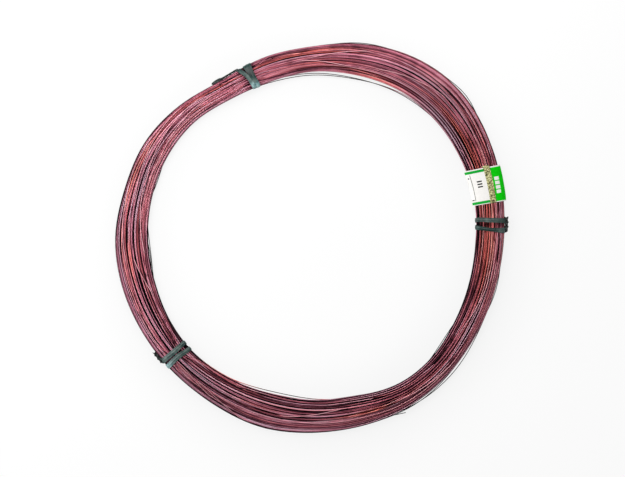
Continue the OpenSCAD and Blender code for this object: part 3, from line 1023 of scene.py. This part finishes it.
def through(places, share):
    """A smooth curve through places, at shares from 0 to the last place's number."""
    last = len(places) - 1
    v = np.array([places[0], *places, places[-1]], float)
    k = np.clip(np.floor(share).astype(int), 0, last - 1)
    t = share - k
    p0, p1, p2, p3 = v[k], v[k + 1], v[k + 2], v[k + 3]
    bend, turn = 2 * p0 - 5 * p1 + 4 * p2 - p3, 3 * (p1 - p2) + p3 - p0
    return p1 + t * (p2 - p0 + t * (bend + t * turn)) / 2


def wrap_rows(clock, quarters):
    """Rows of points across the strip over its two turns round the bundle."""
    shares = [np.append(part[:-1], part[:-1]) for part in section_shares(TURN_STEPS + 1)]
    steps = np.arange(2 * TURN_STEPS) * 4 / TURN_STEPS
    along, width, shade = (through(column, steps) for column in zip(*quarters))
    apart = abs(along[TURN_STEPS:] - along[:TURN_STEPS])
    touching = TIE_W * (width[TURN_STEPS:] + width[:TURN_STEPS]) / 2
    over = np.append(np.zeros(TURN_STEPS), smoothstep((touching - apart) / STEP_UP))
    base = WRAP_GAP + TIE_T / 2 + (TIE_T + LAYER_GAP) * over
    places = along[:, None] + RIB[None, :] * TIE_W / 2 * width[:, None]
    clocks = clock + np.degrees(places / at_clock(MIDDLE, clock))
    share_x, share_z = (part[:, None] for part in shares)
    return skin(clocks, share_x, share_z, base[:, None], base[:, None])[1:], shade[1:]


def twist_rows(clock, root, length, towards, stand, strand):
    """Rows of points across one of the two strands that are twisted into the tie's end."""
    gone = np.linspace(0, length, round(length / TWIST_STEP) + 1)
    bend = stand - TWIST_ROOT
    quarter = bend * math.pi / 2
    turned = np.minimum(np.pi / 2, gone / quarter * np.pi / 2)
    run = bend * (1 - np.cos(turned)) + np.maximum(0, gone - quarter)
    middle = at_clock(MIDDLE, clock)
    place = clock + np.degrees((root + towards * run) / middle)
    angle = np.radians(place)
    out = np.stack([np.cos(angle), np.sin(angle), 0 * angle], -1)
    on = np.stack([-np.sin(angle), np.cos(angle), 0 * angle], -1) * towards
    ahead = out * np.cos(turned)[:, None] + on * np.sin(turned)[:, None]
    up = np.array([0, 0, 1.0])
    aside = np.cross(ahead, up)
    # a long end hugs the bundle; its tip is loose, thick and hardly twisted
    turning = np.where(gone > TIP_FROM, TIP_FROM + TIP_TWIST * (gone - TIP_FROM), gone)
    phase = math.tau * turning / TWIST_PITCH + math.pi * strand
    cos, sin = np.cos(phase)[:, None], np.sin(phase)[:, None]
    normal, round_it = up * cos + aside * sin, aside * cos - up * sin
    rise = math.atan(math.tau * TWIST_R / TWIST_PITCH)
    tangent = (ahead * math.cos(rise) + round_it * math.sin(rise)) * (1 if strand else -1)
    across = np.cross(tangent, normal)
    axis = skin(place, 1, WAIST, TWIST_ROOT + bend * np.sin(turned), 0)
    tip = smoothstep((gone - TIP_FROM) / TIP_EDGE)
    tip = tip - TIP_TAPER * smoothstep((gone - length + TIP_EDGE) / TIP_EDGE)
    swell = np.where(length > TIP_FROM, LONG_THICK + TIP_THICK * tip, SHORT_THICK)[:, None]
    centre = axis + normal * TWIST_R * swell
    strip = across[:, None, :] * (RIB[None, :, None] * TWIST_W / 2) * swell[:, :, None]
    return centre[:, None, :] + strip


def make_ties():
    """Each tie: one twisted end, twice round the bundle, and the other twisted end."""
    material = tie_material()
    for name, (clock, twist, towards, stand, quarters) in TIES.items():
        root = quarters[0][0]
        first = twist_rows(clock, root, twist, towards, stand, 0)[::-1]
        second = twist_rows(clock, root, twist, towards, stand, 1)
        wraps, shade = wrap_rows(clock, quarters)
        # painted shade on the twisted ends
        dark = np.full(len(first), TWIST_SHADE)
        points = np.concatenate([first, wraps, second])
        # the strip lies on the floor and not in it
        points[:, :, 2] = np.maximum(points[:, :, 2], RIB_T / 2)
        tie = lay_strip(name + "_strip", points, RIB_T, 1, np.concatenate([dark, shade, dark]))
        tie.data.materials.append(material)
        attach(tie, "root")
        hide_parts(name)


def tie_material():
    """Dull grey-green plastic, paler in places by an uneven grain, with painted shade and highlight
    from its shade mark.
    """
    material, tree, shader = new_material("green_tie_plastic")
    worn = add_grain(tree, 260, 4, 0.26, 0.42)
    colour = add_ramp(tree, worn["Grain"], [
        (0.32, (0.050, 0.085, 0.085)),
        (0.50, (0.105, 0.150, 0.145)),
        (0.68, (0.190, 0.235, 0.225)),
    ])
    # painted shade and painted highlight from the strip's shade mark: near black on the twisted
    # ends and in shaded stretches, pale glints where the mark is highest
    painted_shade_and_highlight = add_ramp(tree, add_attribute(tree, "shade"), [
        (0.0, (0.02, 0.02, 0.02)),
        (0.25, (0.10, 0.24, 0.22)),
        (0.5, (0.55, 0.60, 0.56)),
        (0.8, (0.95, 0.98, 0.98)),
        (1.0, (2.40, 2.70, 2.80)),
    ])
    feed(tree, shader.inputs["Base Color"], add_blend(tree, 1.0, colour, painted_shade_and_highlight, "MULTIPLY"))
    shader.inputs["Specular IOR Level"].default_value = 0.35
    feed(tree, shader.inputs["Roughness"], worn["Spread"])
    add_bump(tree, add_grain(tree, 700, 3)["Grain"], shader, 0.3, 0.0002)
    return material


# --------------------------------------------------------------- the label and its tape

# the label's clock position, its length along the bundle, how far its folds stand out,
# the thickness that is kept for it, how it fans out outwards, and its slant in degrees
LABEL_CLOCK, LABEL_L, LABEL_FOLD, LABEL_T = 16.8, 34.4, 2.0, 0.3
LABEL_FAN, LABEL_SKEW = 0.10, -6.5
# its paper: thickness, the gap in the overlap, how loosely it lies, and its ripples, each
# with a height, a rate round the label and one along it
PAPER_T, PAPER_GAP, PAPER_LOOSE = 0.14, 0.02, 0.04
RIPPLES = [(0.02, 0.21, 0.25), (0.015, 0.47, -0.4)]
WRAP_STEPS, OVERLAP_STEPS, LABEL_POINTS = 240, 12, 23
# the tape: width and thickness, how far outwards of the middle it lies, how far it
# reaches past the label at its far and its near end, its gap, and its rows and points
TAPE_W, TAPE_T, TAPE_OFF, TAPE_OVER, TAPE_UNDER, TAPE_GAP = 6.0, 0.15, 3.4, 1.7, 0.2, 0.05
TAPE_ROWS, TAPE_POINTS = 49, 9


def on_label(along, share_x, share_z, out, over):
    """A point of the label, `along` it and at a share of the bundle's section."""
    middle, half = at_clock(MIDDLE, LABEL_CLOCK), at_clock(HALF, LABEL_CLOCK)
    x = share_x * (half + out)
    lead = along * (1 + LABEL_FAN * x / middle) + x * math.tan(math.radians(LABEL_SKEW))
    return skin(LABEL_CLOCK + np.degrees(lead / (middle + x)), share_x, share_z, out, over)


def wrap_length():
    """How long the label is once round the bundle."""
    share_x, share_z = section_shares(WRAP_STEPS + 1)
    x = share_x * (at_clock(HALF, LABEL_CLOCK) + LABEL_FOLD)
    z = share_z * (at_clock(HEIGHT, LABEL_CLOCK) + 2 * WRAP_GAP)
    return float(np.hypot(np.diff(x), np.diff(z)).sum())


LABEL_WRAP = wrap_length()
LABEL_OVERLAP = LABEL_WRAP * OVERLAP_STEPS / WRAP_STEPS


def make_label():
    """The paper band: from its seam outwards, underneath and back past the seam."""
    share_x, share_z = (part[:-1] for part in section_shares(WRAP_STEPS + 1))
    half = at_clock(HALF, LABEL_CLOCK) + LABEL_FOLD
    seam = int(np.argmin(abs(share_x[:WRAP_STEPS // 2] * half - TAPE_OFF)))
    steps = np.arange(WRAP_STEPS + OVERLAP_STEPS + 1)[:, None]
    order = (seam - steps) % WRAP_STEPS
    along = np.linspace(-LABEL_L / 2, LABEL_L / 2, LABEL_POINTS)[None, :]
    lifted = smoothstep((steps - WRAP_STEPS + OVERLAP_STEPS) / OVERLAP_STEPS)
    ripple = sum(high * np.sin(steps * a + along * b) for high, a, b in RIPPLES)
    under = WRAP_GAP + PAPER_T / 2 + (PAPER_T + PAPER_GAP) * lifted + PAPER_LOOSE + ripple
    points = on_label(along, share_x[order], share_z[order], LABEL_FOLD - WRAP_GAP + under, under)
    label = lay_strip("label_paper", points, np.full(points.shape[1], PAPER_T), 0)
    label.data.materials.append(paper_material())
    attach(label, "root")
    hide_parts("label")


def make_tape():
    """The strip of tape along the label's seam."""
    half = at_clock(HALF, LABEL_CLOCK) + LABEL_FOLD + LABEL_T
    x = (TAPE_OFF + TAPE_W * np.linspace(0.5, -0.5, TAPE_POINTS))[None, :] / half
    top = WAIST + (1 - WAIST) * np.sqrt(1 - x**2)
    length = LABEL_L + TAPE_UNDER + TAPE_OVER
    along = (np.linspace(0, length, TAPE_ROWS) - LABEL_L / 2 - TAPE_UNDER)[:, None]
    under = WRAP_GAP + LABEL_T + TAPE_GAP + TAPE_T / 2
    points = on_label(along, x, top, LABEL_FOLD + LABEL_T, under)
    tape = lay_strip("seam_tape", points, np.full(TAPE_POINTS, TAPE_T), 0)
    tape.data.materials.append(tape_material())
    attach(tape, "root")
    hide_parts("label_tape")


# how soft the print's edges are
PRINT_EDGE = 0.15
GREEN_INK, DARK_INK = (0.001, 0.37, 0.03), (0.02, 0.02, 0.02)


def band_group():
    """A group that is 1 where a value lies between two others, with soft edges."""
    tree, given = new_group("printed_band", BAND_INPUTS, ("Mask",))
    masks = []
    for first, second in (("Value", "From"), ("To", "Value")):
        past = add_math(tree, "SUBTRACT", given[first], given[second])
        share = add_math(tree, "DIVIDE", past, given["Edge"])
        masks.append(add_math(tree, "ADD", share, 0.5, True))
    add_node(tree, "NodeGroupOutput", {"Mask": add_math(tree, "MULTIPLY", *masks)})
    return tree


BAND = band_group()


def add_band(tree, value, low, high):
    """1 where a value lies between two others, by the group."""
    sockets = dict(zip(BAND_INPUTS, (value, low, high, PRINT_EDGE)))
    return add_node(tree, "ShaderNodeGroup", sockets, node_tree=BAND)["Mask"]


def paper_material():
    """White paper with a printed green panel, two green bands, a ruled line and plain bars."""
    material, tree, shader = new_material("printed_label_paper")
    place = add_node(tree, "ShaderNodeTexCoord")["UV"]
    lengthwise, widthwise, _ = add_node(tree, "ShaderNodeSeparateXYZ", {0: place})
    # millimetres along the label, outwards from its seam and inwards from it
    along = add_math(tree, "MULTIPLY", lengthwise, LABEL_L)
    outwards = add_math(tree, "MULTIPLY", widthwise, LABEL_WRAP + LABEL_OVERLAP)
    inwards = add_math(tree, "SUBTRACT", LABEL_WRAP, outwards)
    uneven = add_grain(tree, 500, 3)["Spread"]
    white = add_blend(tree, uneven, (0.93, 0.91, 0.88), (0.90, 0.88, 0.85))
    green = add_blend(tree, uneven, (0.000, 0.56, 0.000), (0.001, 0.66, 0.002))
    # the panel on both sides of the seam, a band at each end, a ruled line and two
    # dashes: the way across, from and to, then from and to along, and the ink
    prints = [
        (outwards, -9, 17.5, 0.8, 33.2, green),
        (inwards, -9, -1.5, 0.8, 33.2, green),
        (inwards, -9, 21, 0.6, 3.2, GREEN_INK),
        (inwards, -9, 21, 30.8, 33.4, GREEN_INK),
        (inwards, 16.2, 16.8, 4.2, 29.8, (0.16, 0.17, 0.15)),
        (inwards, 17.8, 19.2, 26.0, 27.2, (0.05, 0.05, 0.05)),
        (inwards, 17.6, 20.0, 4.6, 5.6, (0.03, 0.03, 0.03)),
    ]
    # plain bars: three dark ones inwards of the seam, four white ones outwards of it
    for n in range(3):
        prints.append((inwards, 7.2, 12.0, 16.4 + 2.6 * n, 17.7 + 2.6 * n, DARK_INK))
    for n in range(4):
        prints.append((outwards, 4.6, 9.0, 8.3 + 4.2 * n, 11.5 + 4.2 * n, white))
    colour = white
    for way, low, high, first, last, ink in prints:
        bands = add_band(tree, way, low, high), add_band(tree, along, first, last)
        printed = add_math(tree, "MULTIPLY", *bands)
        colour = add_blend(tree, printed, colour, ink)
    feed(tree, shader.inputs["Base Color"], colour)
    shader.inputs["Specular IOR Level"].default_value = 0.15
    fibre = add_grain(tree, 1500, 4, 0.38, 0.52)
    feed(tree, shader.inputs["Roughness"], fibre["Spread"])
    add_bump(tree, fibre["Grain"], shader, 0.2, 0.00005)
    return material


def tape_material():
    """Aged clear tape, khaki and blotched where its glue has let go."""
    material, tree, shader = new_material("aged_tape")
    blotch = add_grain(tree, 620, 3, 0.18, 0.34)
    colour = add_ramp(tree, blotch["Grain"], [
        (0.36, (0.05, 0.045, 0.02)),
        (0.45, (0.25, 0.24, 0.10)),
        (0.53, (0.46, 0.45, 0.20)),
        (0.64, (0.76, 0.73, 0.39)),
    ])
    feed(tree, shader.inputs["Base Color"], colour)
    feed(tree, shader.inputs["Roughness"], blotch["Spread"])
    add_bump(tree, blotch["Grain"], shader, 0.4, 0.0001)
    return material


make_camera()
make_world()
for lamp_name, lamp_place in LAMPS.items():
    make_lamp(lamp_name, lamp_place)
make_floor()
make_wire()
make_ties()
make_label()
make_tape()
